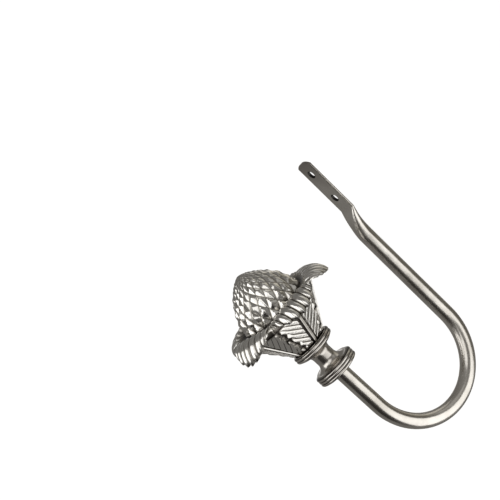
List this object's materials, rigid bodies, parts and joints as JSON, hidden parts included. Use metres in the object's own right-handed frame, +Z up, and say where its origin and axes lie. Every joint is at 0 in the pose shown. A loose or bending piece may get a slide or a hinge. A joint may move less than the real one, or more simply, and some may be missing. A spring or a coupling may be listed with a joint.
{
  "type": "curtain holdback",
  "caption": "U-shaped metal curtain holdback: a bent tube with a flattened screw tang, a beaded collar and a cast finial of curled leaves around a scaled cone.",
  "frame": {"origin": "midway between the two screw holes, on the tang's face that meets the wall", "axes": "+Y into the wall, +Z up, +X along the back arm towards the bend; the finial points to -X"},
  "size_m": [0.1706, 0.1243, 0.078],
  "materials": {
    "satin_nickel": "satin warm nickel plating",
    "polished_nickel": "polished warm nickel plating",
    "antique_silver": "silver leaf finish with dark patina in the recesses",
    "zinc_steel": "zinc plating"
  },
  "bodies": {
    "root": {"hook_tube": "satin_nickel", "tube_insert": "zinc_steel", "stud": "zinc_steel", "collar": "polished_nickel", "finial": "antique_silver"}
  },
  "joints": []
}
